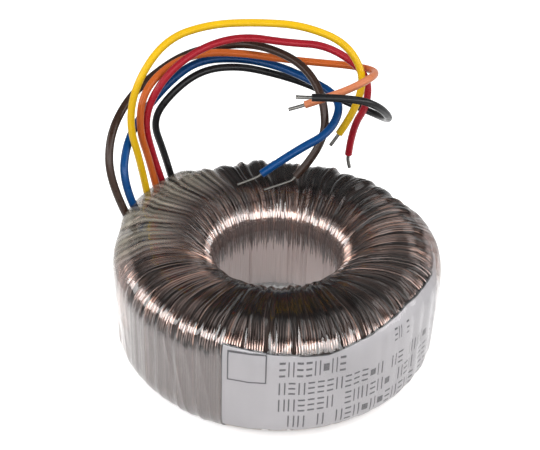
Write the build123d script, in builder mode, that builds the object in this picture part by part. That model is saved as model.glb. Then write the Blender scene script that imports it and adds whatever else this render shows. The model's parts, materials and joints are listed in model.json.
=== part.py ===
from build123d import *
import os
from math import degrees, pi, radians, sin, tan

# Toroidal mains transformer: strip-wound core, primary, two secondaries, outer film and six
# flying leads. Millimetres. +Z is up, the ring stands on z = 0 and the origin is the centre
# of its base.

# Outer form of the finished ring
outer_diameter = 82.0
ring_height = 34.0
bore_diameter = 29.0
outer_corner = 8.5
inner_corner = 10.0

# Film wrap over the windings and the label
film_thickness = 0.8

# Builds of the layers under the film: outside the core, on its two end faces and in the bore,
# where the same turns crowd together
secondary_b_build = 1.3
secondary_b_face_build = 1.2
secondary_b_bore_build = 2.2
secondary_a_build = 1.0
secondary_a_face_build = 1.0
secondary_a_bore_build = 1.8
tape_thickness = 0.3
primary_build = 1.6
primary_face_build = 1.5
primary_bore_build = 2.4
core_wrap_thickness = 0.6
core_edge = 0.8

# Bundles of turns in the outermost winding, which the label and the film follow on the top and
# outside. Each leans on the one before it, so it rises to its crown in this share of its width.
bundle_count = 44
bundle_valley = 0.7
bundle_lean = 0.25
bore_skim = 0.1

# Label, between the windings and the film
label_thickness = 0.15
label_height = 24.0
label_start = -107.0
label_end = 7.0

# Leads
primary_lead_diameter = 2.1
secondary_lead_diameter = 1.9
primary_wire_diameter = 0.6
secondary_wire_diameter = 0.9
wire_lead_in = 1.5
sleeve_wall = 0.4
sleeve_length = 4.0
sleeve_outlet = 4.0
hood_radius = 6.0
hood_rise = 1.0
hood_overhang = 1.0

# Each lead starts in its sleeve, at an azimuth and a distance in from the outer wall
exit_depth = 4.0
lead_exits = {
    "brown": (165.4, 1.2),
    "blue": (161.1, 2.4),
    "yellow": (151.4, 2.3),
    "orange": (145.5, 2.2),
    "red": (141.2, 1.9),
    "black": (136.0, 1.4),
}

# From there each lead's route to the end of its insulation, then the end of its bare wire
lead_bends = {
    "brown": [
        (-42.5, 10.5, 39.5), (-43, 15, 49.5), (-39.5, 22.5, 56), (-33, 30.5, 60), (-25, 36, 63.5),
        (-14, 38, 65.5), (-5, 32.5, 68), (5, 29, 65), (10.5, 24, 58), (11, 19.5, 47), (4, 17.5, 39),
    ],
    "blue": [
        (-39.5, 11.5, 39), (-39, 18, 47), (-35.5, 26.5, 51), (-29, 29.5, 58.5), (-22, 33, 63),
        (-12, 38, 61.5), (-2.5, 37, 60.5), (6, 33, 59), (15, 25.5, 57.5), (12.5, 16.5, 53),
        (3.5, 12.5, 49.5), (-4.5, 11, 43.5),
    ],
    "yellow": [
        (-35.5, 17.5, 41.5), (-38, 16.5, 53), (-36, 18, 64), (-29, 22, 74), (-18.5, 25, 77),
        (-6.5, 26, 77.5), (5, 26, 77), (16.5, 25, 72.5), (21, 21.5, 61.5), (14.5, 21, 50),
    ],
    "orange": [
        (-33.5, 21, 39.5), (-36, 20, 49.5), (-35, 22.5, 59), (-29, 28, 64), (-21, 32.5, 65.5),
        (-11, 34, 65), (-1.5, 34.5, 63.5), (8.5, 35, 62.5), (17.5, 34, 62.5), (23.5, 26.5, 65),
        (20.5, 17, 67.5), (14, 14.5, 65), (5.5, 14.5, 61.5),
    ],
    "red": [
        (-33, 23, 40), (-35, 22, 52), (-30, 24, 62.5), (-21.5, 27.5, 69), (-11, 29.5, 72),
        (0.5, 29.5, 70.5), (11, 29, 70.5), (21, 27, 64), (21.5, 26.5, 55.5), (18, 26, 49),
        (17.5, 26, 41),
    ],
    "black": [
        (-30.5, 27.5, 38.5), (-33.5, 27.5, 48), (-28.5, 29, 55.5), (-21, 31.5, 61), (-12, 34.5, 61),
        (-3, 37, 58), (6, 38.5, 54.5), (15, 37, 51), (23.5, 31, 50.5), (27.5, 22, 53.5),
        (24, 14.5, 61.5), (17, 10.5, 66), (7, 10, 66),
    ],
}
wire_ends = {
    "brown": (-4, 14.5, 36.5),
    "blue": (-10.5, 9.5, 41),
    "yellow": (12.5, 21, 46.5),
    "orange": (1.5, 14.5, 60),
    "red": (18, 26, 37),
    "black": (3, 10, 66),
}
primary_leads = ("brown", "blue")
secondary_leads = ("yellow", "orange", "red", "black")

# Values worked out from the sizes above
outer_radius = outer_diameter / 2
bore_radius = bore_diameter / 2


def lead_route(name):
    """A lead's route from its start in the sleeve."""
    azimuth, inset = lead_exits[name]
    start = Vector(outer_radius - inset, 0, ring_height - exit_depth).rotate(Axis.Z, azimuth)
    return [start, *(Vector(point) for point in lead_bends[name])]


class Section:
    """A rounded ring section: its bounds in radius and height, and its two corner radii."""

    def __init__(self, inner, outer, bottom, top, inner_round, outer_round):
        self.inner, self.outer = inner, outer
        self.bottom, self.top = bottom, top
        self.inner_round, self.outer_round = inner_round, outer_round

    def inside(self, outer_build, face_build, bore_build):
        """The section left when a layer of these builds is taken off."""
        return Section(
            self.inner + bore_build,
            self.outer - outer_build,
            self.bottom + face_build,
            self.top - face_build,
            self.inner_round - (face_build + bore_build) / 2,
            self.outer_round - (face_build + outer_build) / 2,
        )

    def draw(self, growth=0.0, skim=0.0):
        """Draw the section in the current sketch, grown at its top and outside and by the skim
        in its bore."""
        with Locations((self.inner - skim, self.bottom)):
            Rectangle(
                self.outer - self.inner + growth + skim,
                self.top - self.bottom + growth,
                align=(Align.MIN, Align.MIN),
            )
        fillet(vertices().group_by(Axis.X)[-1], self.outer_round + growth)
        fillet(vertices().group_by(Axis.X)[0].sort_by(Axis.Y)[0], self.inner_round)
        fillet(vertices().group_by(Axis.X)[0].sort_by(Axis.Y)[-1], self.inner_round + growth)


envelope = Section(bore_radius, outer_radius, 0, ring_height, inner_corner, outer_corner)
wound = envelope.inside(film_thickness, film_thickness, film_thickness)
label_face = wound.inside(-label_thickness, -label_thickness, -label_thickness)
under_b = wound.inside(secondary_b_build, secondary_b_face_build, secondary_b_bore_build)
under_a = under_b.inside(secondary_a_build, secondary_a_face_build, secondary_a_bore_build)
under_tape = under_a.inside(tape_thickness, tape_thickness, tape_thickness)
core_wrapped = under_tape.inside(primary_build, primary_face_build, primary_bore_build)
core_wrapped.inner_round = core_wrapped.outer_round = core_edge + core_wrap_thickness
core_bare = core_wrapped.inside(core_wrap_thickness, core_wrap_thickness, core_wrap_thickness)


def section_plane(azimuth):
    """The half-plane through the Z axis at an azimuth, with x outwards and y up."""
    return Plane.XZ.rotated((0, 0, azimuth))


def solid_ring(section):
    """The section turned about the Z axis."""
    with BuildPart() as ring:
        with BuildSketch(Plane.XZ):
            section.draw()
        revolve(axis=Axis.Z)
    return ring.part


def bundled_ring(section):
    """A solid ring with the form of the bundles on its top and outside, round in its bore."""
    pitch = 360 / bundle_count
    with BuildPart() as bundle:
        for share, depth in ((-bundle_lean, bundle_valley), (0, 0), (1 - bundle_lean, bundle_valley)):
            with BuildSketch(section_plane(share * pitch)):
                section.draw(-depth, bore_skim)
        loft(ruled=True)
    with BuildPart() as ring:
        with PolarLocations(0, bundle_count):
            add(bundle.part)
        with BuildSketch():
            Circle(section.inner)
        extrude(amount=ring_height, mode=Mode.SUBTRACT)
    return ring.part


def lead_diameter(name):
    return primary_lead_diameter if name in primary_leads else secondary_lead_diameter


def sleeve_bar(name, outlet=0.0):
    """A round bar of a sleeve's outer size, drawn out past its mouth by an outlet."""
    start, second = lead_route(name)[:2]
    leaving = (second - start).normalized()
    with BuildPart() as bar:
        with BuildSketch(Plane(origin=start - leaving * sleeve_length, z_dir=leaving)):
            Circle(lead_diameter(name) / 2 + sleeve_wall)
        extrude(amount=sleeve_length + outlet)
    return bar.part


def ring_layer(outside, inside):
    """A layer between two solid rings, with the seats of the sleeves cut in it."""
    with BuildPart() as layer:
        add(outside)
        add(inside, mode=Mode.SUBTRACT)
        for name in lead_exits:
            add(sleeve_bar(name, sleeve_outlet), mode=Mode.SUBTRACT)
    return layer.part


def exit_hood(names):
    """The swelling of the film over one group of leads: a torus arc with round ends."""
    azimuths = [lead_exits[name][0] for name in names]
    reach = (outer_corner + hood_rise - hood_radius) * sin(radians(45))
    centre = (outer_radius - outer_corner + reach, ring_height - outer_corner + reach)
    margin = degrees(hood_overhang / centre[0])
    with BuildPart() as hood:
        with BuildSketch(section_plane(min(azimuths) - margin)):
            with Locations(centre):
                Circle(hood_radius)
        revolve(axis=Axis.Z, revolution_arc=max(azimuths) - min(azimuths) + 2 * margin)
        for azimuth in (min(azimuths) - margin, max(azimuths) + margin):
            with Locations(section_plane(azimuth).from_local_coords(Vector(*centre))):
                Sphere(hood_radius)
    return hood.part


def corner_radii(route):
    """For each corner, the radius that uses 0.45 of its shorter run."""
    radii = []
    for before, corner, after in zip(route, route[1:], route[2:]):
        turn = (corner - before).get_angle(after - corner)
        shorter = min((corner - before).length, (after - corner).length)
        radii.append(0.45 * shorter / tan(radians(turn / 2)))
    return radii


def round_tube(route, diameter):
    """A solid tube along straight runs joined by tangent arcs."""
    with BuildPart() as tube:
        with BuildLine() as path:
            FilletPolyline(*route, radius=corner_radii(route))
        with BuildSketch(Plane(origin=route[0], z_dir=path.line % 0)):
            Circle(diameter / 2)
        sweep()
    return tube.part


core = solid_ring(core_bare)
wrapped_core = solid_ring(core_wrapped)
primary_outside = solid_ring(under_tape)
taped = solid_ring(under_a)
secondary_a_outside = solid_ring(under_b)

# Outermost winding, with its bundles of turns
bundles = bundled_ring(wound)

# Label, wrapped over the bundles on the outer wall
with BuildPart() as label:
    with BuildSketch(section_plane(label_start)):
        with Locations((outer_radius, ring_height / 2)):
            Rectangle(2 * outer_corner, label_height)
    revolve(axis=Axis.Z, revolution_arc=label_end - label_start)
    add(bundled_ring(label_face), mode=Mode.INTERSECT)
    add(bundles, mode=Mode.SUBTRACT)

# Outer film, drawn tight over the bundles and swollen over the two groups of leads
with BuildPart() as film_form:
    add(bundled_ring(envelope))
    for group in (primary_leads, secondary_leads):
        add(exit_hood(group))

with BuildPart() as outer_film:
    add(ring_layer(film_form.part, bundles))
    add(label.part, mode=Mode.SUBTRACT)

parts = {
    "core": core,
    "core_wrap": ring_layer(wrapped_core, core),
    "primary_winding": ring_layer(primary_outside, wrapped_core),
    "interwinding_tape": ring_layer(taped, primary_outside),
    "secondary_winding_a": ring_layer(secondary_a_outside, taped),
    "secondary_winding_b": ring_layer(bundles, secondary_a_outside),
    "outer_film": outer_film.part,
    "label": label.part,
}

# Leads: for each, its sleeve, its insulation and the bare end of its wire
for name in lead_exits:
    route = lead_route(name)
    parts[f"{name}_sleeve"] = sleeve_bar(name)
    parts[f"{name}_lead"] = round_tube(route, lead_diameter(name))
    bend = route[-1] + (route[-1] - route[-2]).normalized() * wire_lead_in
    wire_diameter = primary_wire_diameter if name in primary_leads else secondary_wire_diameter
    parts[f"{name}_wire"] = round_tube([route[-1], bend, Vector(wire_ends[name])], wire_diameter)
    length = sum((before - after).length for before, after in zip(route, route[1:]))
    section_area = pi * lead_diameter(name) ** 2 / 4
    print(name, "radii", [round(radius, 1) for radius in corner_radii(route)])
    print(name, "volume / section", round(parts[f"{name}_lead"].volume / section_area, 1),
          "of", round(length, 1))

os.makedirs("parts", exist_ok=True)
for node, part in parts.items():
    part.label = node
    export_step(part, f"parts/{node}.step")
    print(node, len(part.solids()), round(part.volume, 2))
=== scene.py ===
"""Looks of the toroidal transformer: wound turns, clear film, label and flying leads, in metres."""

import json
import math

import bpy
import numpy as np
from mathutils import Matrix, Vector

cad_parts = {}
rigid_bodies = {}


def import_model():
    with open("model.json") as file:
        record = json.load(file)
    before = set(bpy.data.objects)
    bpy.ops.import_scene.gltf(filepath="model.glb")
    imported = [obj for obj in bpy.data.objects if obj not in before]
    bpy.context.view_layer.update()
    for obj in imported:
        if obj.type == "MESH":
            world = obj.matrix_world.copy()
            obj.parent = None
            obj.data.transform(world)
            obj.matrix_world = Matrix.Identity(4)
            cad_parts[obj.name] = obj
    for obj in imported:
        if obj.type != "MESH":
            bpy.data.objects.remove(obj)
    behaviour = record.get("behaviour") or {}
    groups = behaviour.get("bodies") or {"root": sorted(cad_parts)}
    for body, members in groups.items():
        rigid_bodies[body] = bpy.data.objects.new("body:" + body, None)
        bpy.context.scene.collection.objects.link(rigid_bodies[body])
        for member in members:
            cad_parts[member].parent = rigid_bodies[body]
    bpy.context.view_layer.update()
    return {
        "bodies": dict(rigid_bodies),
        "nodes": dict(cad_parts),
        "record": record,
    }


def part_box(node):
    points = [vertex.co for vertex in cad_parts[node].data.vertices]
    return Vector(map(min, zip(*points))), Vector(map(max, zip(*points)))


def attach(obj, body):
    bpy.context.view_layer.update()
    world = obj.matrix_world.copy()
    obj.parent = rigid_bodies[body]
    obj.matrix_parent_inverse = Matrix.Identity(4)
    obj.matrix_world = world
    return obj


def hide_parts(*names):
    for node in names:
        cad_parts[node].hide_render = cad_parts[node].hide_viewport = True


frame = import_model()
MM = 0.001
BODY = next(iter(frame["bodies"]))
random_source = np.random.default_rng(11)

# ---------------------------------------------------------------- sizes, from the frame
film_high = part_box("outer_film")[1]
OUTER_RADIUS = film_high.x
RING_HEIGHT = film_high.z
BORE_RADIUS = next(m["dims"]["r_mm"] for m in frame["record"]["mounts"] if m["kind"] == "bore") * MM
FILM_BUILD = RING_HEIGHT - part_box("secondary_winding_b")[1].z
OUTER_CORNER = 8.5 * MM
INNER_CORNER = 10 * MM
MIDDLE = RING_HEIGHT / 2
# Beyond this radius a point of the section is on the outer wall or its corners
OUTER_SIDE = 0.8 * OUTER_RADIUS
FULL_TURN = 2 * math.pi


def ring_section(depth, stations):
    """Points and outward normals of the ring's section, this far inside the envelope.

    It starts half way up the bore and goes up, out over the top, down and back underneath.
    """
    inner, outer = BORE_RADIUS + depth, OUTER_RADIUS - depth
    bottom, top = depth, RING_HEIGHT - depth
    inner_round, outer_round = INNER_CORNER - depth, OUTER_CORNER - depth
    arc_steps = 40

    def arc(centre_r, centre_z, radius, start, end):
        angles = np.radians(np.linspace(start, end, arc_steps))
        return [(centre_r + radius * math.cos(a), centre_z + radius * math.sin(a)) for a in angles]

    middle = (bottom + top) / 2
    path = [(inner, middle)]
    path += arc(inner + inner_round, top - inner_round, inner_round, 180, 90)
    path += arc(outer - outer_round, top - outer_round, outer_round, 90, 0)
    path += arc(outer - outer_round, bottom + outer_round, outer_round, 0, -90)
    path += arc(inner + inner_round, bottom + inner_round, inner_round, -90, -180)
    path += [(inner, middle)]
    path = np.array(path)
    lengths = np.concatenate([[0], np.cumsum(np.linalg.norm(np.diff(path, axis=0), axis=1))])
    share = np.arange(stations) / stations
    points = np.stack([np.interp(share * lengths[-1], lengths, path[:, i]) for i in (0, 1)], 1)
    tangents = np.roll(points, -1, 0) - np.roll(points, 1, 0)
    tangents /= np.linalg.norm(tangents, axis=1)[:, None]
    normals = np.stack([-tangents[:, 1], tangents[:, 0]], 1)
    return points, normals


def smooth(values):
    """A soft step: nought up to 0 and one from 1 on."""
    values = np.clip(values, 0, 1)
    return values * values * (3 - 2 * values)


def window(values, low, high, soft):
    """One between two limits and nought outside, with soft edges."""
    return smooth((values - low) / soft + 0.5) * smooth((high - values) / soft + 0.5)


def drift(azimuths, seed, waves, strength):
    """A smooth random function of azimuth that closes on itself."""
    source = np.random.default_rng(seed)
    total = np.zeros_like(azimuths)
    for wave in waves:
        total += source.normal() * np.sin(wave * azimuths + source.uniform(0, FULL_TURN))
    return strength * total / math.sqrt(len(waves))


def new_mesh(name, vertices, faces, material):
    """A smooth-shaded piece of faces with one number of corners."""
    mesh = bpy.data.meshes.new(name)
    vertices = np.asarray(vertices, np.float32).reshape(-1, 3)
    faces = np.asarray(faces, np.int32)
    mesh.vertices.add(len(vertices))
    mesh.vertices.foreach_set("co", vertices.ravel())
    mesh.loops.add(faces.size)
    mesh.loops.foreach_set("vertex_index", faces.ravel())
    mesh.polygons.add(len(faces))
    mesh.polygons.foreach_set("loop_start", np.arange(0, faces.size, faces.shape[1]))
    mesh.polygons.foreach_set("use_smooth", np.ones(len(faces), bool))
    mesh.update(calc_edges=True)
    mesh.validate()
    mesh.materials.append(material)
    piece = bpy.data.objects.new(name, mesh)
    bpy.context.scene.collection.objects.link(piece)
    return piece


def add_values(piece, name, values):
    """One number a vertex, for the materials to read."""
    attribute = piece.data.attributes.new(name, "FLOAT", "POINT")
    attribute.data.foreach_set("value", np.asarray(values, np.float32).ravel())


def dress(piece, node):
    """Fix a piece to the body, and hide the node that it stands for."""
    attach(piece, BODY)
    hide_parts(node)


# ---------------------------------------------------------------- materials
# The film's veil over the turns, and where it is milky; the warm veil is also painted reflection of the
# floor
WARM_VEIL_AND_REFLECTION = (0.72, 0.575, 0.545)
MILKY_VEIL = (0.45, 0.41, 0.335)
# The dark line of painted shade along the label's edges
LABEL_EDGE_SHADE = (0.03, 0.03, 0.033)
LEAD_COLOURS = {
    "brown": (0.030, 0.015, 0.010), "blue": (0.0, 0.046, 0.17), "yellow": (0.68, 0.41, 0.006),
    "orange": (0.53, 0.115, 0.020), "red": (0.36, 0.012, 0.024), "black": (0.008, 0.008, 0.009),
}
# The orange lead's paler colour on its last stretch, and the ranges of X and of Y through which it changes
PALER_ORANGE = (0.55, 0.185, 0.085)
PALER_ALONG_X = (-2 * MM, 4 * MM)
PALER_ALONG_Y = (22 * MM, 28 * MM)
# What shows in the end of each lead's insulation: yellow-olive on the brown lead, painted shade of the
# hollow on the others
HOLLOW_COLOURS = {"brown": (0.30, 0.29, 0.07)}
HOLLOW_SHADE = (0.012, 0.012, 0.014)


class Shader:
    """A node material, with short calls for the nodes that it needs."""

    def __init__(self, name):
        self.material = bpy.data.materials.new(name)
        self.material.use_nodes = True
        self.tree = self.material.node_tree
        self.body = self.tree.nodes["Principled BSDF"]
        self.output = self.tree.nodes["Material Output"]
        self.place = self.node("ShaderNodeTexCoord").outputs["Object"]

    def node(self, kind, **values):
        made = self.tree.nodes.new(kind)
        for name, value in values.items():
            setattr(made, name, value)
        return made

    def link(self, source, target):
        self.tree.links.new(source, target)

    def feed(self, target, value):
        """Link a socket, or set a plain value."""
        if isinstance(value, bpy.types.NodeSocket):
            self.link(value, target)
        else:
            target.default_value = value

    def set(self, **values):
        """Feed the main shader's inputs, whose names have _ here for a space."""
        for name, value in values.items():
            self.feed(self.body.inputs[name.replace("_", " ")], value)

    def math(self, operation, first, second=0.0):
        made = self.node("ShaderNodeMath", operation=operation)
        self.feed(made.inputs[0], first)
        self.feed(made.inputs[1], second)
        return made.outputs[0]

    def noise(self, scale, detail=3.0):
        made = self.node("ShaderNodeTexNoise")
        self.link(self.place, made.inputs["Vector"])
        made.inputs["Scale"].default_value = scale
        made.inputs["Detail"].default_value = detail
        made.inputs["Roughness"].default_value = 0.55
        return made.outputs["Fac"]

    def ramp(self, value, *stops):
        """A colour by value, from stops of position and colour."""
        made = self.node("ShaderNodeValToRGB")
        elements = made.color_ramp.elements
        while len(elements) < len(stops):
            elements.new(0.5)
        for element, (position, colour) in zip(elements, stops):
            element.position = position
            element.color = (*colour, 1)
        self.link(value, made.inputs["Fac"])
        return made.outputs["Color"]

    def mix(self, share, first, second):
        made = self.node("ShaderNodeMix", data_type="RGBA")
        self.feed(made.inputs["Factor"], share)
        for socket, colour in ((made.inputs["A"], first), (made.inputs["B"], second)):
            self.feed(socket, colour if isinstance(colour, bpy.types.NodeSocket) else (*colour, 1))
        return made.outputs["Result"]

    def span(self, value, low, high, to_low=0.0, to_high=1.0):
        """The value stretched from one range to another, and held at its ends."""
        made = self.node("ShaderNodeMapRange")
        self.feed(made.inputs["Value"], value)
        made.inputs["From Min"].default_value = low
        made.inputs["From Max"].default_value = high
        made.inputs["To Min"].default_value = to_low
        made.inputs["To Max"].default_value = to_high
        return made.outputs["Result"]

    def bump(self, height, distance, strength=1.0):
        made = self.node("ShaderNodeBump")
        made.inputs["Strength"].default_value = strength
        made.inputs["Distance"].default_value = distance
        self.link(height, made.inputs["Height"])
        return made.outputs["Normal"]

    def attribute(self, name):
        return self.node("ShaderNodeAttribute", attribute_name=name).outputs["Fac"]

    def coordinates(self):
        """X, Y and Z of the shaded point."""
        made = self.node("ShaderNodeSeparateXYZ")
        self.link(self.place, made.inputs[0])
        return made.outputs


def enamel_material():
    """Dark enamelled copper, changing from turn to turn and in patches; brighter turns are painted glints.
    """
    shader = Shader("enamelled_copper")
    tone_and_glint = shader.math("MULTIPLY", shader.attribute("tone_and_glint"), 0.75)
    patch = shader.math("MULTIPLY", shader.noise(90, 2), 0.3)
    mixed = shader.math("ADD", tone_and_glint, patch)
    colour = shader.ramp(mixed, (0.12, (0.13, 0.10, 0.092)), (0.5, (0.29, 0.22, 0.20)),
                         (0.8, (0.46, 0.325, 0.28)), (1.0, (0.66, 0.43, 0.34)))
    rough = shader.span(shader.noise(700, 2), 0.3, 0.7, 0.14, 0.26)
    shader.set(Base_Color=colour, Metallic=1.0, Roughness=rough, Coat_Weight=0.3, Coat_Roughness=0.1)
    return shader.material


def shaded_under_winding_material():
    """Copper darker than the outer turns' enamel, as painted shade, with its turns as fine ridges."""
    shader = Shader("shaded_under_turns")
    place = shader.coordinates()
    azimuth = shader.math("ARCTAN2", place["Y"], place["X"])
    turns = shader.math("SINE", shader.math("MULTIPLY", azimuth, 300))
    colour = shader.ramp(shader.noise(120), (0.3, (0.05, 0.035, 0.03)), (0.75, (0.16, 0.10, 0.08)))
    shader.set(Base_Color=colour, Metallic=0.6, Roughness=0.4, Normal=shader.bump(turns, 0.15 * MM))
    return shader.material


def film_material():
    """Clear film: see-through with a veil where it is hazy and where it is painted light, and glossy by its
    sheen.
    """
    shader = Shader("clear_film")
    wrinkle = shader.noise(260)
    clear = shader.node("ShaderNodeBsdfTransparent")
    clear.inputs["Color"].default_value = (0.96, 0.955, 0.95, 1)
    colour = shader.ramp(shader.attribute("milky"), (0.0, WARM_VEIL_AND_REFLECTION), (1.0, MILKY_VEIL))
    shader.set(Base_Color=colour, Roughness=0.35)
    gloss = shader.node("ShaderNodeBsdfGlossy")
    gloss.inputs["Roughness"].default_value = 0.09
    gloss.inputs["Color"].default_value = (1, 1, 1, 1)
    bump = shader.bump(wrinkle, 0.08 * MM, 0.6)
    shader.link(bump, gloss.inputs["Normal"])
    fresnel = shader.node("ShaderNodeFresnel")
    fresnel.inputs["IOR"].default_value = 1.65
    shader.link(bump, fresnel.inputs["Normal"])
    veiled = shader.node("ShaderNodeMixShader")
    shader.link(shader.attribute("haze_and_painted_light"), veiled.inputs["Fac"])
    shader.link(clear.outputs[0], veiled.inputs[1])
    shader.link(shader.body.outputs[0], veiled.inputs[2])
    top = shader.node("ShaderNodeMixShader")
    shine = shader.math("MULTIPLY", fresnel.outputs[0], shader.attribute("sheen"))
    shader.link(shine, top.inputs["Fac"])
    shader.link(veiled.outputs[0], top.inputs[1])
    shader.link(gloss.outputs[0], top.inputs[2])
    shader.link(top.outputs[0], shader.output.inputs["Surface"])
    return shader.material


def label_material():
    """Grey-white paper, with a dark line of painted shade at its edges, under the film."""
    shader = Shader("label_paper")
    paper = shader.ramp(shader.noise(60, 4), (0.3, (0.42, 0.412, 0.435)), (0.7, (0.51, 0.50, 0.525)))
    colour = shader.mix(shader.attribute("edge"), paper, LABEL_EDGE_SHADE)
    shader.set(Base_Color=colour, Roughness=0.5, Normal=shader.bump(shader.noise(900), 0.02 * MM))
    return shader.material


def ink_material():
    """Flat printing ink."""
    shader = Shader("label_ink")
    shader.set(Base_Color=(0.09, 0.09, 0.10, 1), Roughness=0.5)
    return shader.material


def lead_material(name, end_colour=None):
    """Soft PVC, paler on the orange lead's last stretch; an end's hollow takes its own colour."""
    shader = Shader(f"{name}_pvc")
    colour = LEAD_COLOURS[name]
    dark = tuple(c * 0.94 for c in colour)
    light = tuple(min(1, c * 1.06) for c in colour)
    shade = shader.ramp(shader.noise(150), (0.3, dark), (0.7, light))
    if name == "orange":
        place = shader.coordinates()
        along = shader.span(place["X"], *PALER_ALONG_X)
        across = shader.span(place["Y"], *PALER_ALONG_Y, 1.0, 0.0)
        shade = shader.mix(shader.math("MULTIPLY", along, across), shade, PALER_ORANGE)
    if end_colour:
        shade = shader.mix(shader.attribute("hollow"), shade, end_colour)
    shader.set(Base_Color=shade, Specular_IOR_Level=0.22,
               Roughness=shader.span(shader.noise(500), 0.3, 0.7, 0.24, 0.36),
               Normal=shader.bump(shader.noise(1500), 0.01 * MM))
    return shader.material


def plain_material(name, colour, roughness, metallic=0.0):
    """One colour with a tenth more or less of it in patches, and an uneven finish."""
    shader = Shader(name)
    dark = tuple(c * 0.9 for c in colour)
    light = tuple(min(1, c * 1.1) for c in colour)
    shader.set(Base_Color=shader.ramp(shader.noise(150), (0.3, dark), (0.7, light)), Metallic=metallic,
               Roughness=shader.span(shader.noise(500), 0.3, 0.7, roughness - 0.06, roughness + 0.06),
               Normal=shader.bump(shader.noise(1500), 0.01 * MM))
    return shader.material


# ---------------------------------------------------------------- outermost winding
# The bundles' form, as in the part's source: its count, its depth and the share that rises
BUNDLES = 44
BUNDLE_VALLEY = 0.7 * MM
BUNDLE_LEAN = 0.25
BUNDLE_PITCH = FULL_TURN / BUNDLES
TURNS_IN_BUNDLE = 8
TURNS = BUNDLES * TURNS_IN_BUNDLE
WIRE_RADIUS = 0.3 * MM
STATIONS = 92
SIDES = 6
# How far the turns lean round the ring on their way out of the bore, by azimuth, in degrees
LEANS = {
    -180: -18, -150: -6, -124: -8, -90: -2, -62: 0, -40: 12, -20: 16, 10: 12, 60: 8, 127: 2, 160: -14,
}
# How deep the valleys between bundles are, by azimuth: deepest at the right and the rear
BUNDLE_STRENGTH = (
    (0, 1.0), (60, 1.0), (120, 0.8), (170, 0.5), (250, 0.4), (300, 0.5), (330, 0.9), (360, 1.0),
)
# Where the film stands off the turns' upper corner, at the left and at the right
LOOSE_AZIMUTHS = ((math.radians(-192), math.radians(-154)), (math.radians(-14), math.radians(30)))
LOOSE_DROP = 0.6 * MM
# Up to the first radius the turns crowd into layers, and from the second on they lie in bundles
CROWDED_RADIUS = 18 * MM
SPREAD_RADIUS = 30 * MM
CROWDED_FADE = 8 * MM
# The layers there: every second turn lies lower, and a share of all turns lower again, in wire radii
SECOND_LAYER = 1.1
THIRD_LAYER = 1.4
THIRD_LAYER_SHARE = 0.3
# How far whole bundles and single turns stray round the ring
BUNDLE_STRAY = math.radians(0.7)
TURN_STRAY = math.radians(0.35)
# How many turns are brighter than their bundle, and where all turns are: painted glints along the wires
BRIGHT_SHARE = 0.25
PAINTED_GLINT_AZIMUTHS = (math.radians(-30), math.radians(110))
# The layer that shows between the turns: its grid, its depth under them and what the bore adds
# That layer's copper is darker, as painted shade between and under the bundles
DEEPER_COLUMNS = 720
DEEPER_ROWS = 48
DEEPER_DEPTH = 0.95 * MM
DEEPER_IN_BORE = 0.4 * MM

turn_number = np.arange(TURNS)
bundle_of = turn_number // TURNS_IN_BUNDLE
bundle_middle = (bundle_of + 0.5 - BUNDLE_LEAN) * BUNDLE_PITCH


def laid_section():
    """Points and outward normals of the section that the turns' centre lines are laid on."""
    return ring_section(FILM_BUILD + WIRE_RADIUS, STATIONS)


def looseness(azimuths):
    """How far the film stands off the turns' upper corner, from 0 to 1, by azimuth."""
    total = np.zeros_like(azimuths)
    for start, end in LOOSE_AZIMUTHS:
        for turn in (-FULL_TURN, 0, FULL_TURN):
            total += window(azimuths + turn, start, end, math.radians(16))
    return total


def bundle_form(azimuths):
    """Depth of the bundles' form, from 0 at a crown to -1 in a valley."""
    share = (azimuths / BUNDLE_PITCH + BUNDLE_LEAN) % 1
    return np.minimum(share / BUNDLE_LEAN, (1 - share) / (1 - BUNDLE_LEAN)) - 1


def form_share(normals):
    """How much of the bundles' depth shows at each station: none in the bore and underneath."""
    return (1 + np.minimum(normals[:, 0], 0)) * (1 + np.minimum(normals[:, 1], 0))


def lean(azimuths):
    """The turns' lean in radians, from LEANS with its corners rounded."""
    degrees = np.degrees(azimuths)
    leans = [np.interp(degrees + shift, list(LEANS), list(LEANS.values()), period=360)
             for shift in range(-12, 13, 3)]
    return np.radians(np.mean(leans, axis=0))


def turn_places():
    """Each turn's azimuth in the bore, where they lie evenly, and on the wall, where they bunch."""
    place = turn_number % TURNS_IN_BUNDLE - (TURNS_IN_BUNDLE - 1) / 2
    pitch = 2 * WIRE_RADIUS / (OUTER_RADIUS - FILM_BUILD) * 1.02
    even = (turn_number + 0.5) * FULL_TURN / TURNS - BUNDLE_LEAN * BUNDLE_PITCH
    return even - lean(even), bundle_middle + place * pitch


def turn_azimuths(inside, outside, radius):
    """Each turn's azimuth at each station, as it strays on its way from the bore to the wall."""
    outwards = smooth((radius - BORE_RADIUS) / (SPREAD_RADIUS - BORE_RADIUS))
    between = np.sin(math.pi * smooth((radius - CROWDED_RADIUS) / (OUTER_RADIUS - CROWDED_RADIUS)))
    azimuth = inside[:, None] + (outside - inside)[:, None] * outwards[None]
    bundle_wander = random_source.normal(0, BUNDLE_STRAY, BUNDLES)[bundle_of]
    turn_wander = random_source.normal(0, TURN_STRAY, TURNS)
    return azimuth + (bundle_wander + turn_wander)[:, None] * between[None]


def bundle_relief(gathered):
    """How far each turn lies off the section by its bundle's form, and by itself."""
    strength = np.interp(np.degrees(bundle_middle) % 360, *zip(*BUNDLE_STRENGTH))
    depth = (random_source.uniform(0.4, 1.15, BUNDLES)[bundle_of] * strength) * BUNDLE_VALLEY
    form = bundle_form(gathered) * depth
    return form + random_source.normal(-0.08, 0.07, TURNS) * MM


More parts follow.
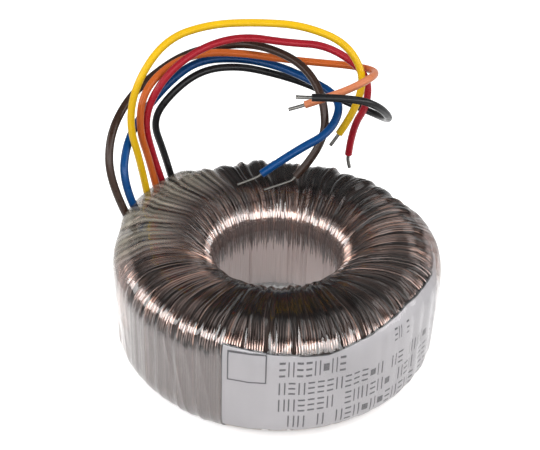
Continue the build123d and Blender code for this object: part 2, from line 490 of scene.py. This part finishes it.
def turn_offsets(inside, outside, relief, points, normals):
    """How far each turn lies off the section at each station."""
    radius, height = points.T
    upper = height > MIDDLE
    crowded = 1 - smooth((radius - CROWDED_RADIUS) / CROWDED_FADE)
    under = (turn_number % 2) * SECOND_LAYER
    under = under + (random_source.uniform(size=TURNS) < THIRD_LAYER_SHARE) * THIRD_LAYER
    sink = under[:, None] * crowded[None] * WIRE_RADIUS
    offset = relief[:, None] * form_share(normals)[None] - sink
    corner = smooth((radius - SPREAD_RADIUS) / (9 * MM)) * upper
    offset -= LOOSE_DROP * looseness(outside)[:, None] * corner[None]
    # In the bore some turns slope inwards on their way up, and others outwards
    slope = drift(inside, 5, (23, 41, 59, 83, 97), 0.018)[:, None]
    offset += slope * (height - MIDDLE)[None] * crowded[None]
    # Round the upper corners bundles, pairs and single turns lie in by different amounts
    rounded = 2 * np.abs(normals[:, 0] * normals[:, 1]) * upper
    pairs = np.repeat(random_source.normal(0, 0.26, TURNS // 2), 2)
    flat = random_source.normal(0.3, 0.2, BUNDLES)[bundle_of] + pairs
    flat = flat + random_source.normal(0, 0.1, TURNS)
    offset -= np.maximum(flat, -0.15)[:, None] * MM * (rounded * (radius > SPREAD_RADIUS))[None]
    flat = np.abs(random_source.normal(0, 0.22, TURNS))
    offset -= flat[:, None] * MM * (rounded * (radius <= SPREAD_RADIUS))[None]
    return offset


def turn_paths():
    """Centre lines of all turns: (turn, station, 3), and their outward directions, azimuths and offsets."""
    points, normals = laid_section()
    inside, gathered = turn_places()
    outside = gathered + random_source.normal(0, BUNDLE_STRAY, BUNDLES)[bundle_of]
    azimuth = turn_azimuths(inside, outside, points[:, 0])
    offset = turn_offsets(inside, outside, bundle_relief(gathered), points, normals)
    r = points[None, :, 0] + normals[None, :, 0] * offset
    z = points[None, :, 1] + normals[None, :, 1] * offset
    centre = np.stack([r * np.cos(azimuth), r * np.sin(azimuth), z], 2)
    up = np.stack([normals[None, :, 0] * np.cos(azimuth), normals[None, :, 0] * np.sin(azimuth),
                   np.broadcast_to(normals[None, :, 1], azimuth.shape)], 2)
    return centre, up, azimuth, offset


def tubes(name, centre, up, material, tones_and_glints):
    """Closed tubes round the centre lines, as one mesh."""
    tangent = np.roll(centre, -1, 1) - np.roll(centre, 1, 1)
    tangent /= np.linalg.norm(tangent, axis=2)[..., None]
    side = np.cross(tangent, up)
    side /= np.linalg.norm(side, axis=2)[..., None]
    up = np.cross(side, tangent)
    angles = np.arange(SIDES) * FULL_TURN / SIDES
    ring = (side[:, :, None] * np.cos(angles)[None, None, :, None]
            + up[:, :, None] * np.sin(angles)[None, None, :, None]) * WIRE_RADIUS
    vertices = centre[:, :, None] + ring
    turns, stations = centre.shape[:2]
    index = np.arange(turns * stations * SIDES).reshape(turns, stations, SIDES)
    ahead = np.roll(index, -1, 1)
    faces = np.stack([index, ahead, np.roll(ahead, -1, 2), np.roll(index, -1, 2)], 3).reshape(-1, 4)
    piece = new_mesh(name, vertices, faces, material)
    add_values(piece, "tone_and_glint", np.repeat(tones_and_glints, stations * SIDES))
    dress(piece, "secondary_winding_b")


def grid_ring(name, azimuths, points, normals, lift, material):
    """A closed skin round the ring, lifted from its section along its normals."""
    r = np.minimum(points[None, :, 0] + normals[None, :, 0] * lift, OUTER_RADIUS)
    z = np.clip(points[None, :, 1] + normals[None, :, 1] * lift, 0, RING_HEIGHT)
    vertices = np.stack([r * np.cos(azimuths), r * np.sin(azimuths), z], 2)
    index = np.arange(r.size).reshape(r.shape)
    ahead = np.roll(index, -1, 0)
    faces = np.stack([index, np.roll(index, -1, 1), np.roll(ahead, -1, 1), ahead], 2).reshape(-1, 4)
    return new_mesh(name, vertices, faces, material)


enamel = enamel_material()
turn_centre, turn_up, turn_azimuth, turn_offset = turn_paths()
bundle_tones = random_source.normal(0.45, 0.12, BUNDLES)
# A share of turns, and all turns on the right, get brighter enamel as painted glints
bright_turns = (random_source.uniform(size=TURNS) < BRIGHT_SHARE) * 0.35
painted_glint_side = window(turn_azimuth[:, 0], *PAINTED_GLINT_AZIMUTHS, math.radians(30))
turn_tones_and_glints = random_source.normal(-0.05, 0.16, TURNS) + bright_turns * (1 + 0.5 * painted_glint_side)
tones_and_glints = np.clip(np.repeat(bundle_tones, TURNS_IN_BUNDLE) + turn_tones_and_glints + 0.27 * painted_glint_side, 0, 1)
first_half = turn_number < TURNS // 2
tubes("turns_far", turn_centre[first_half], turn_up[first_half], enamel, tones_and_glints[first_half])
tubes("turns_near", turn_centre[~first_half], turn_up[~first_half], enamel, tones_and_glints[~first_half])


def build_deeper_turns():
    """The turns that show through the gaps between the bundles, in painted shade."""
    columns = np.arange(DEEPER_COLUMNS) * FULL_TURN / DEEPER_COLUMNS
    points, normals = ring_section(FILM_BUILD + WIRE_RADIUS, DEEPER_ROWS)
    azimuths = np.repeat(columns[:, None], DEEPER_ROWS, 1)
    lift = np.full(azimuths.shape, -DEEPER_DEPTH)
    lift -= DEEPER_IN_BORE * (1 - form_share(normals))[None]
    piece = grid_ring("deeper_turns", azimuths, points, normals, lift, shaded_under_winding_material())
    dress(piece, "secondary_winding_b")


build_deeper_turns()

# ---------------------------------------------------------------- film
FILM_COLUMNS_A_TURN = 3
# How much lower a turn holds the film up at the end of its reach than at the turn itself
REACH_DROP = 0.25 * MM
LABEL_START, LABEL_END = math.radians(-107), math.radians(7)
LABEL_COLUMNS = 460
LABEL_BOTTOM = 5 * MM
# How far the paper and its print lie under the film
LABEL_DEPTH = 0.09 * MM
PRINT_DEPTH = 0.06 * MM
# Height of the label's upper edge by azimuth, in degrees and millimetres
LABEL_EDGE = {-107: 29, -90: 28, -72: 27.2, -58: 28.8, -37: 30.6, -15: 30, 7: 29}
# The swelling over the leads' exits, as in the part's source
HOOD_RADIUS = 6 * MM
HOOD_RISE = 1 * MM
HOOD_AZIMUTHS = (math.radians(130), math.radians(171))
# Where the film is milky and stands off the turns round the leads
MILKY_AZIMUTHS = (math.radians(122), math.radians(195))
MILKY_SOFT = math.radians(16)
# Up to these heights the film is loose on the wall, veiled on the wall and veiled in the bore
# On the wall that veil is milky film and painted reflection of the floor; in the bore it is painted
# reflection
LOOSE_WALL_TOP = 27 * MM
WALL_VEIL_TOP = 26.5 * MM
BORE_REFLECTION_TOP = 21 * MM
# Above the wall's veil the film shines less, up to this height
DULL_TOP = 30.5 * MM
# How high the film's small folds stand
FOLD_HEIGHT = 0.22 * MM


def label_top(azimuths):
    """Height of the label's upper edge."""
    return np.interp(np.degrees(azimuths), list(LABEL_EDGE), list(LABEL_EDGE.values())) * MM


def drape(azimuths, reach, sharpness):
    """Height of a film over the turns, above the section that they are laid on.

    The reach is how far along the ring a turn holds the film up, and a sharper film follows the
    turns more closely.
    """
    radius = laid_section()[0][:, 0]
    height = np.zeros(azimuths.shape)
    for station in range(STATIONS):
        gap = np.angle(np.exp(1j * (azimuths[:, station, None] - turn_azimuth[None, :, station])))
        distance = gap * radius[station]
        score = turn_offset[None, :, station] - (distance / reach) ** 2 * REACH_DROP
        height[:, station] = np.log(np.exp(sharpness * score).sum(1)) / sharpness
    return height


def hood_lift(points, normals):
    """How far out the swelling over the leads stands from the section at each station."""
    reach = (OUTER_CORNER + HOOD_RISE - HOOD_RADIUS) * math.sin(math.radians(45))
    centre = np.array([OUTER_RADIUS - OUTER_CORNER + reach, RING_HEIGHT - OUTER_CORNER + reach])
    away = points - centre
    along = (away * normals).sum(1)
    inside = along ** 2 - (away ** 2).sum(1) + HOOD_RADIUS ** 2
    return np.where(inside > 0, -along + np.sqrt(np.maximum(inside, 0)), 0)


def loose_lift(azimuths):
    """The film's height where it is stretched from bundle to bundle, over the label too."""
    radius = laid_section()[0][:, 0]
    lift = drape(azimuths, 1.7 * MM, 7 / MM) + WIRE_RADIUS + 0.1 * MM
    wall = smooth((radius - (OUTER_RADIUS - 4 * MM)) / (3 * MM))
    sag = np.clip(0.5 + drift(azimuths, 24, (19, 31, 43, 61, 83), 0.4), 0, 1.2)
    return lift + 0.12 * MM * wall[None] * sag


def wall_folds(azimuths, height):
    """The folds of the film down the wall, from 0 to 1, which slant towards their lower ends."""
    slanted = azimuths - math.radians(9) * (1 - height / RING_HEIGHT)
    phase = 61 * slanted + drift(slanted, 21, (3, 5, 8, 13, 19, 27), 4.5)
    ridge = (1 - np.abs(np.sin(phase / 2))) ** 1.5
    return ridge * np.clip(0.4 + drift(slanted, 22, (7, 11, 17, 29), 0.45), 0, 1)


def film_lift(azimuths):
    """The film's height above the section that the turns are laid on."""
    points, normals = laid_section()
    radius, height = points[None, :, 0], points[None, :, 1]
    outer = radius > OUTER_SIDE
    tight = drape(azimuths, 0.5 * MM, 14 / MM) + WIRE_RADIUS + 0.02 * MM
    loose = loose_lift(azimuths)
    margin = math.radians(2)
    beside_label = window(azimuths, LABEL_START - margin, LABEL_END + margin, math.radians(3))
    over_label = beside_label * outer * smooth((label_top(azimuths) + 1.3 * MM - height) / (1.6 * MM))
    on_wall = outer * smooth((LOOSE_WALL_TOP - height) / (3 * MM))
    lift = tight + np.maximum(over_label, 0.8 * on_wall) * (loose - tight)
    lift += FOLD_HEIGHT * wall_folds(azimuths, height) * on_wall * (1 - beside_label)
    over_exits = window(azimuths % FULL_TURN, *MILKY_AZIMUTHS, MILKY_SOFT)
    over_exits = over_exits * smooth((radius - 19 * MM) / (6 * MM)) * (height > MIDDLE)
    radial = 1 - np.abs(np.sin(37 * azimuths + drift(azimuths, 23, (5, 9, 14, 22), 3.0)))
    billow = loose + FOLD_HEIGHT * radial ** 1.5
    lift += over_exits * np.maximum(billow - lift, 0)
    standing = looseness(azimuths) * outer
    standing = standing * smooth((height - 10 * MM) / (12 * MM))
    standing = standing * smooth((RING_HEIGHT - 1 * MM - height) / (5 * MM))
    lift += standing * np.maximum(FILM_BUILD + WIRE_RADIUS - 0.1 * MM - lift, 0)
    over_leads = window(azimuths, *HOOD_AZIMUTHS, math.radians(9))
    hood = hood_lift(points, normals)[None] - 0.05 * MM
    return lift + over_leads * np.maximum(hood - lift, 0)


def film_azimuths():
    """Columns along the turns, with more between each and the next."""
    after = np.concatenate([turn_azimuth[1:], turn_azimuth[:1] + FULL_TURN])
    shares = np.arange(FILM_COLUMNS_A_TURN) / FILM_COLUMNS_A_TURN
    between = turn_azimuth[:, None] + (after - turn_azimuth)[:, None] * shares[None, :, None]
    return np.sort(between.reshape(-1, STATIONS), 0)


def film_veil(azimuths, radius, height, wall_top):
    """How hazy and milky the film is: on the wall and in the bore partly painted light, round the leads
    milky.
    """
    # On the outer wall the veil is milky film and painted reflection of the pale floor
    wall = (radius > OUTER_SIDE) * smooth((wall_top - height) / (1.5 * MM))
    wall = wall * (1 - 0.8 * window(azimuths, LABEL_START, LABEL_END, math.radians(1)))
    top_side = smooth((radius - 20 * MM) / (12 * MM)) * (height > MIDDLE)
    milky = window(azimuths % FULL_TURN, *MILKY_AZIMUTHS, MILKY_SOFT) * top_side[None]
    # Low in the bore, up to a ragged line, the veil is painted reflection of the floor
    ragged = BORE_REFLECTION_TOP + drift(azimuths, 31, (29, 47, 71, 113, 151), 2.2 * MM)
    bore_painted_reflection = (radius < BORE_RADIUS + 2 * MM) * smooth((ragged - height) / (2 * MM))
    streaks = np.clip(0.6 + drift(azimuths, 32, (31, 53, 79, 101), 0.45), 0.05, 1.4)
    standing = looseness(azimuths) * (radius > 0.9 * OUTER_RADIUS)
    standing = standing * smooth((height - 4 * MM) / (5 * MM))
    haze_and_painted_light = 0.01 + 0.14 * wall + 0.42 * milky * streaks + 0.42 * bore_painted_reflection + 0.2 * standing
    # More veil all through the bore is painted light that lifts its shade
    haze_and_painted_light += 0.12 * (radius < BORE_RADIUS + 3 * MM)[None]
    return haze_and_painted_light, milky


def film_sheen(azimuths, radius, height, wall_top):
    """How much the film shines: less over the label and just above the wall's veil."""
    outer = radius > OUTER_SIDE
    over_label = window(azimuths, LABEL_START, LABEL_END, math.radians(2)) * outer
    over_label = over_label * smooth((label_top(azimuths) + 0.5 * MM - height) / (0.8 * MM))
    matt = over_label * np.interp(azimuths, np.radians((-40, 0)), (0.75, 0.3))
    above_wall = outer * smooth((height - wall_top) / (1.5 * MM))
    above_wall = above_wall * smooth((DULL_TOP - height) / (2 * MM)) * (1 - looseness(azimuths))
    return (1 - matt) * (1 - 0.3 * above_wall)


def build_film():
    """The film, with how hazy, milky and shiny it is at each point."""
    azimuths = (film_azimuths() + math.pi) % FULL_TURN - math.pi
    points, normals = laid_section()
    piece = grid_ring("film_wrap", azimuths, points, normals, film_lift(azimuths), film_material())
    wall_top = WALL_VEIL_TOP + drift(azimuths, 33, (23, 37, 61, 89, 131), 0.9 * MM)
    haze_and_painted_light, milky = film_veil(azimuths, points[:, 0], points[:, 1], wall_top)
    add_values(piece, "haze_and_painted_light", haze_and_painted_light)
    add_values(piece, "milky", milky)
    add_values(piece, "sheen", film_sheen(azimuths, points[:, 0], points[:, 1], wall_top))
    dress(piece, "outer_film")


# ---------------------------------------------------------------- label
def label_surface(columns, height, depth):
    """Points at each column's heights, this far under the film: (column, height, 3)."""
    points, normals = laid_section()
    lift = loose_lift(np.repeat(columns[:, None], STATIONS, 1)) - depth
    outer = np.flatnonzero(points[:, 0] > OUTER_SIDE)
    upwards = outer[np.argsort(points[outer, 1])]
    level = points[upwards, 1]
    radii = points[upwards, 0] + normals[upwards, 0] * lift[:, upwards]
    levels = level + normals[upwards, 1] * lift[:, upwards]
    r = np.stack([np.interp(h, level, row) for h, row in zip(height, radii)])
    z = np.stack([np.interp(h, level, row) for h, row in zip(height, levels)])
    return np.stack([r * np.cos(columns)[:, None], r * np.sin(columns)[:, None], z], 2)


def grid_faces(rows, columns, first=0):
    """The faces between neighbours in a grid of points, counted from the first."""
    index = first + np.arange(rows * columns).reshape(rows, columns)
    return np.stack([index[:-1, :-1], index[1:, :-1], index[1:, 1:], index[:-1, 1:]], 2).reshape(-1, 4)


def build_label():
    """The paper strip, with a dark line of painted shade along its upper edge and its left end."""
    columns = np.linspace(LABEL_START, LABEL_END, LABEL_COLUMNS)
    # The painted shade line starts at the last share but one, close above the rest
    shares = np.append(np.linspace(0, 0.985, 40), [0.988, 1])
    height = LABEL_BOTTOM + (label_top(columns) - LABEL_BOTTOM)[:, None] * shares
    grid = label_surface(columns, height, LABEL_DEPTH)
    piece = new_mesh("label_strip", grid, grid_faces(*height.shape), label_material())
    edge = np.maximum((shares >= shares[-2])[None], (columns < columns[2])[:, None])
    add_values(piece, "edge", edge)
    dress(piece, "label")


# Rows of print: the start and end of each in degrees, its lowest and highest points in
# millimetres, and how many marks it holds
PRINT_ROWS = (
    (-88, -65, 21.7, 26.0, 8),
    (-88, -24, 16.4, 20.0, 20),
    (-88, -20, 11.3, 15.0, 21),
    (-88, -22, 6.3, 10.0, 20),
    (-46, -38, 24.2, 27.6, 4),
)
# The sides of an empty frame at the label's left, in the same units
FRAME_BARS = (
    (-105, -92, 19.5, 19.9), (-105, -92, 27.3, 27.8),
    (-105, -104.5, 19.5, 27.8), (-92.5, -92, 19.5, 27.8),
)
# The share of places that are left empty, and a mark's mesh: its columns in degrees and its rows
EMPTY_SHARE = 0.14
MARK_COLUMN = 0.4
MARK_ROWS = 8


def marks(start, end, low, high):
    """One mark of the print, which is no letter: a block, level bars or upright bars."""
    width, tall = end - start, high - low
    kind = random_source.choice(["block", "level", "upright"], p=[0.08, 0.42, 0.5])
    if kind == "block":
        return [(start, end, low + 0.25 * tall, high - 0.25 * tall)]
    if kind == "level":
        bars = [(low + share * tall, low + (share + 0.14) * tall) for share in (0, 0.43, 0.86)]
        return [(start, end, *bar) for bar in bars]
    return [(start, start + 0.22 * width, low, high), (end - 0.22 * width, end, low, high)]


def build_print():
    """Meaningless marks in rows where the real label has its text, and an empty frame."""
    blocks = list(FRAME_BARS)
    for start, end, low, high, count in PRINT_ROWS:
        step = (end - start) / count
        for number in range(count):
            if random_source.uniform() < EMPTY_SHARE:
                continue
            at = start + step * number
            blocks += marks(at, at + 0.7 * step, low, high)
    vertices = []
    faces = []
    made = 0
    for start, end, low, high in blocks:
        columns = np.radians(np.linspace(start, end, 2 + math.ceil((end - start) / MARK_COLUMN)))
        height = np.tile(np.linspace(low, high, MARK_ROWS) * MM, (len(columns), 1))
        vertices.append(label_surface(columns, height, PRINT_DEPTH).reshape(-1, 3))
        faces.append(grid_faces(*height.shape, made))
        made += height.size
    piece = new_mesh("label_print", np.concatenate(vertices), np.concatenate(faces), ink_material())
    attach(piece, BODY)


build_label()
build_print()
build_film()

# ---------------------------------------------------------------- leads
LEAD_DIAMETERS = {"brown": 2.1, "blue": 2.1, "yellow": 1.9, "orange": 1.9, "red": 1.9, "black": 1.9}
# An end's section: shares of the lead's radius, how far it stands out in millimetres, and how
# hollow it looks
END_STEPS = 24
# The hollow is a nearly flat disc in the end's colour, which is painted shade on all leads but the brown
END_SECTION = (
    (0.90, -0.15, 0), (1.0, -0.02, 0), (0.97, 0.08, 0), (0.86, 0.13, 0), (0.74, 0.11, 0.1),
    (0.64, 0.05, 0.9), (0.30, 0.03, 1), (0.02, 0.03, 1),
)
# Each route's points, in millimetres as in the part's source
LEAD_ROUTES = {
    "brown": [
        (-38.5, 10, 30), (-42.5, 10.5, 39.5), (-43, 15, 49.5), (-39.5, 22.5, 56), (-33, 30.5, 60),
        (-25, 36, 63.5), (-14, 38, 65.5), (-5, 32.5, 68), (5, 29, 65), (10.5, 24, 58),
        (11, 19.5, 47), (4, 17.5, 39),
    ],
    "blue": [
        (-36.5, 12.5, 30), (-39.5, 11.5, 39), (-39, 18, 47), (-35.5, 26.5, 51), (-29, 29.5, 58.5),
        (-22, 33, 63), (-12, 38, 61.5), (-2.5, 37, 60.5), (6, 33, 59), (15, 25.5, 57.5),
        (12.5, 16.5, 53), (3.5, 12.5, 49.5), (-4.5, 11, 43.5),
    ],
    "yellow": [
        (-34, 18.5, 30), (-35.5, 17.5, 41.5), (-38, 16.5, 53), (-36, 18, 64), (-29, 22, 74),
        (-18.5, 25, 77), (-6.5, 26, 77.5), (5, 26, 77), (16.5, 25, 72.5), (21, 21.5, 61.5),
        (14.5, 21, 50),
    ],
    "orange": [
        (-32, 22, 30), (-33.5, 21, 39.5), (-36, 20, 49.5), (-35, 22.5, 59), (-29, 28, 64),
        (-21, 32.5, 65.5), (-11, 34, 65), (-1.5, 34.5, 63.5), (8.5, 35, 62.5), (17.5, 34, 62.5),
        (23.5, 26.5, 65), (20.5, 17, 67.5), (14, 14.5, 65), (5.5, 14.5, 61.5),
    ],
    "red": [
        (-30.5, 24.5, 30), (-33, 23, 40), (-35, 22, 52), (-30, 24, 62.5), (-21.5, 27.5, 69),
        (-11, 29.5, 72), (0.5, 29.5, 70.5), (11, 29, 70.5), (21, 27, 64), (21.5, 26.5, 55.5),
        (18, 26, 49), (17.5, 26, 41),
    ],
    "black": [
        (-28.5, 27.5, 30), (-30.5, 27.5, 38.5), (-33.5, 27.5, 48), (-28.5, 29, 55.5),
        (-21, 31.5, 61), (-12, 34.5, 61), (-3, 37, 58), (6, 38.5, 54.5), (15, 37, 51),
        (23.5, 31, 50.5), (27.5, 22, 53.5), (24, 14.5, 61.5), (17, 10.5, 66), (7, 10, 66),
    ],
}


def build_lead_end(name, diameter):
    """The rounded rim and painted hollow where the insulation is cut; dark as shade but on the brown lead.
    """
    before, end = (Vector(place) * MM for place in LEAD_ROUTES[name][-2:])
    turn = (end - before).to_track_quat("Z", "Y").to_matrix()
    vertices = []
    hollow = []
    for share, out, value in END_SECTION:
        for step in range(END_STEPS):
            angle = FULL_TURN * step / END_STEPS
            reach = share * diameter / 2
            place = Vector((reach * math.cos(angle), reach * math.sin(angle), out * MM))
            vertices.append(end + turn @ place)
            hollow.append(value)
    index = np.arange(len(vertices)).reshape(-1, END_STEPS)
    after = np.roll(index, -1, 1)
    faces = np.stack([index[:-1], after[:-1], after[1:], index[1:]], 2).reshape(-1, 4)
    material = lead_material(name, HOLLOW_COLOURS.get(name, HOLLOW_SHADE))
    piece = new_mesh(f"{name}_end", vertices, faces, material)
    add_values(piece, "hollow", hollow)
    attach(piece, BODY)
    return piece


def build_lead(name):
    """A lead as one smooth tube, in place of the CAD lead, with its cut end."""
    curve = bpy.data.curves.new(f"{name}_insulation", "CURVE")
    curve.dimensions = "3D"
    spline = curve.splines.new("NURBS")
    route = LEAD_ROUTES[name]
    spline.points.add(len(route) - 1)
    for point, place in zip(spline.points, route):
        point.co = (*(MM * x for x in place), 1)
    spline.order_u = 3
    spline.use_endpoint_u = True
    spline.resolution_u = 8
    diameter = LEAD_DIAMETERS[name] * MM
    curve.bevel_depth = diameter / 2
    curve.bevel_resolution = 5
    curve.use_fill_caps = True
    piece = bpy.data.objects.new(f"{name}_insulation", curve)
    bpy.context.scene.collection.objects.link(piece)
    curve.materials.append(lead_material(name))
    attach(piece, BODY)
    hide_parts(f"{name}_lead")
    build_lead_end(name, diameter)


for name in LEAD_ROUTES:
    build_lead(name)


# ---------------------------------------------------------------- CAD nodes that stay
def assign(node, material):
    """Give a CAD node's whole mesh one material."""
    mesh = frame["nodes"][node].data
    mesh.materials.clear()
    mesh.materials.append(material)
    for polygon in mesh.polygons:
        polygon.material_index = 0


# The inner windings take the same darker copper of painted shade
shaded_under_turns = shaded_under_winding_material()
for node in ("secondary_winding_a", "primary_winding"):
    assign(node, shaded_under_turns)
tape = plain_material("polyester_tape", (0.65, 0.50, 0.16), 0.35)
for node in ("interwinding_tape", "core_wrap"):
    assign(node, tape)
assign("core", plain_material("core_steel", (0.45, 0.46, 0.48), 0.35, metallic=1.0))
sleeve = plain_material("sleeve", (0.70, 0.70, 0.66), 0.4)
tinned = plain_material("tinned_wire", (0.17, 0.165, 0.155), 0.5, metallic=1.0)
for name in LEAD_ROUTES:
    assign(f"{name}_sleeve", sleeve)
    assign(f"{name}_wire", tinned)


# ---------------------------------------------------------------- floor, light and camera
FLOOR_REACH = 3.0
# How white the floor is to the camera, and to mirrors away from the ring
FLOOR_GLOW = 0.62
FLOOR_FAR_MIRROR = 0.03
# What a mirror sees of the sky by height, from level to straight up
SKY_LEVELS = (
    (0.0, 0.75), (0.12, 0.52), (0.32, 0.17), (0.52, 0.14), (0.60, 0.055), (0.74, 0.05), (0.90, 0.32),
)
# A long softbox in front and a small lamp high at the right, which only mirrors see
SOFTBOX_LEVEL = 6.5
SIDE_LAMP_LEVEL = 1.1
# The even light that everything matt gets from the sky
AMBIENT_LEVEL = 0.55
LIGHT_AIM = (0, 0, 0.03)
CAMERA_PLACE = (0, -0.25904, 0.21327)
CAMERA_TARGET = (-0.002038, 0, 0.035648)
CAMERA_ROLL = math.radians(1.833)
CAMERA_LENS = 85.47


def build_floor():
    """A pale floor, white to the camera and darker in mirrors away from the ring, with painted shadow."""
    mesh = bpy.data.meshes.new("floor")
    corners = [(x * FLOOR_REACH, y * FLOOR_REACH, 0) for x, y in ((-1, -1), (1, -1), (1, 1), (-1, 1))]
    mesh.from_pydata(corners, [], [(0, 1, 2, 3)])
    floor = bpy.data.objects.new("floor", mesh)
    bpy.context.scene.collection.objects.link(floor)
    shader = Shader("pale_floor")
    shader.set(Base_Color=(0.8, 0.8, 0.8, 1), Roughness=0.9, Specular_IOR_Level=0.0)
    rays = shader.node("ShaderNodeLightPath")
    place = shader.coordinates()
    squares = [shader.math("MULTIPLY", place[axis], place[axis]) for axis in "XY"]
    radius = shader.math("SQRT", shader.math("ADD", *squares))
    # Painted shadow of the ring, for mirrors that see the floor under it
    white, shade = (1, 1, 1), (0.3, 0.3, 0.3)
    ring_shadow = shader.ramp(radius, (0.013, white), (0.018, shade), (0.037, shade), (0.044, white))
    mirrored = shader.span(radius, 0.092, 0.110, 1.0, FLOOR_FAR_MIRROR)
    mirrored = shader.math("MULTIPLY", mirrored, ring_shadow)
    mirrored = shader.math("MULTIPLY", rays.outputs["Is Glossy Ray"], mirrored)
    in_view = shader.math("MULTIPLY", rays.outputs["Is Camera Ray"], FLOOR_GLOW)
    # Painted shadow in the hole, where the camera sees the floor
    in_view = shader.math("MULTIPLY", in_view, shader.span(radius, 0.021, 0.026, 0.3, 1.0))
    strength = shader.math("ADD", in_view, mirrored)
    shader.set(Emission_Color=(1, 1, 1, 1), Emission_Strength=strength)
    mesh.materials.append(shader.material)


def build_world():
    """White to the camera, even to matt surfaces, and a studio's lamps and dark walls to mirrors."""
    world = bpy.data.worlds.new("studio")
    bpy.context.scene.world = world
    world.use_nodes = True
    tree = world.node_tree
    nodes, links = tree.nodes, tree.links
    background = nodes["Background"]
    place = nodes.new("ShaderNodeTexCoord")
    parts = nodes.new("ShaderNodeSeparateXYZ")
    links.new(place.outputs["Generated"], parts.inputs[0])

    def math_node(operation, first, second=0.0):
        made = nodes.new("ShaderNodeMath")
        made.operation = operation
        for socket, value in zip(made.inputs, (first, second)):
            if isinstance(value, bpy.types.NodeSocket):
                links.new(value, socket)
            else:
                socket.default_value = value
        return made.outputs[0]

    def soft_step(value, start, end, before=0.0, after=1.0):
        """A soft change from one level to another as the value goes from start to end."""
        made = nodes.new("ShaderNodeMapRange")
        made.interpolation_type = "SMOOTHSTEP"
        made.inputs["From Min"].default_value = start
        made.inputs["From Max"].default_value = end
        made.inputs["To Min"].default_value = before
        made.inputs["To Max"].default_value = after
        links.new(value, made.inputs["Value"])
        return made.outputs[0]

    def band(value, low, high, soft):
        """One between two limits and nought outside, with soft edges."""
        up = soft_step(value, low - soft, low + soft)
        down = soft_step(value, high - soft, high + soft, 1.0, 0.0)
        return math_node("MULTIPLY", up, down)

    rays = nodes.new("ShaderNodeLightPath")
    across, depth, height = (parts.outputs[axis] for axis in "XYZ")
    softbox = math_node("MULTIPLY", band(height, 0.14, 0.47, 0.03), soft_step(depth, 0.35, 0.0))
    side_lamp = math_node("MULTIPLY", band(height, 0.68, 0.93, 0.04), band(across, 0.27, 0.7, 0.06))
    sky = nodes.new("ShaderNodeValToRGB")
    while len(sky.color_ramp.elements) < len(SKY_LEVELS):
        sky.color_ramp.elements.new(0.5)
    for element, (position, level) in zip(sky.color_ramp.elements, SKY_LEVELS):
        element.position = position
        element.color = (level, level, level, 1)
    links.new(height, sky.inputs["Fac"])
    mirrored = math_node("ADD", math_node("MULTIPLY", softbox, SOFTBOX_LEVEL), sky.outputs["Color"])
    mirrored = math_node("ADD", mirrored, math_node("MULTIPLY", side_lamp, SIDE_LAMP_LEVEL))
    mirrored = math_node("MULTIPLY", mirrored, rays.outputs["Is Glossy Ray"])
    matt = math_node("SUBTRACT", 1.0, rays.outputs["Is Glossy Ray"])
    matt = math_node("MULTIPLY", matt, AMBIENT_LEVEL)
    total = math_node("ADD", mirrored, matt)
    total = math_node("MAXIMUM", total, rays.outputs["Is Camera Ray"])
    links.new(total, background.inputs["Strength"])
    background.inputs["Color"].default_value = (1, 1, 1, 1)


def area_light(name, place, size, power):
    """A soft lamp aimed at the ring, which shows neither to the camera nor in mirrors."""
    data = bpy.data.lights.new(name, "AREA")
    data.energy = power
    data.size = size
    light = bpy.data.objects.new(name, data)
    bpy.context.scene.collection.objects.link(light)
    light.location = place
    light.rotation_euler = (Vector(LIGHT_AIM) - Vector(place)).to_track_quat("-Z", "Y").to_euler()
    light.visible_glossy = False
    light.visible_camera = False


def build_camera():
    """The camera in front of the ring and above it, rolled a little."""
    data = bpy.data.cameras.new("camera")
    data.sensor_width = 36
    data.lens = CAMERA_LENS
    data.clip_start = 0.01
    camera = bpy.data.objects.new("camera", data)
    bpy.context.scene.collection.objects.link(camera)
    place = Vector(CAMERA_PLACE)
    turn = (Vector(CAMERA_TARGET) - place).to_track_quat("-Z", "Y").to_matrix()
    roll = Matrix.Rotation(CAMERA_ROLL, 3, "Z")
    camera.matrix_world = Matrix.Translation(place) @ (turn @ roll).to_4x4()
    bpy.context.scene.camera = camera


build_floor()
build_world()
area_light("key", (-0.25, -0.35, 0.55), 0.35, 3.0)
area_light("fill", (0.4, -0.1, 0.45), 0.4, 1.6)
build_camera()
bpy.context.scene.view_settings.view_transform = "Standard"
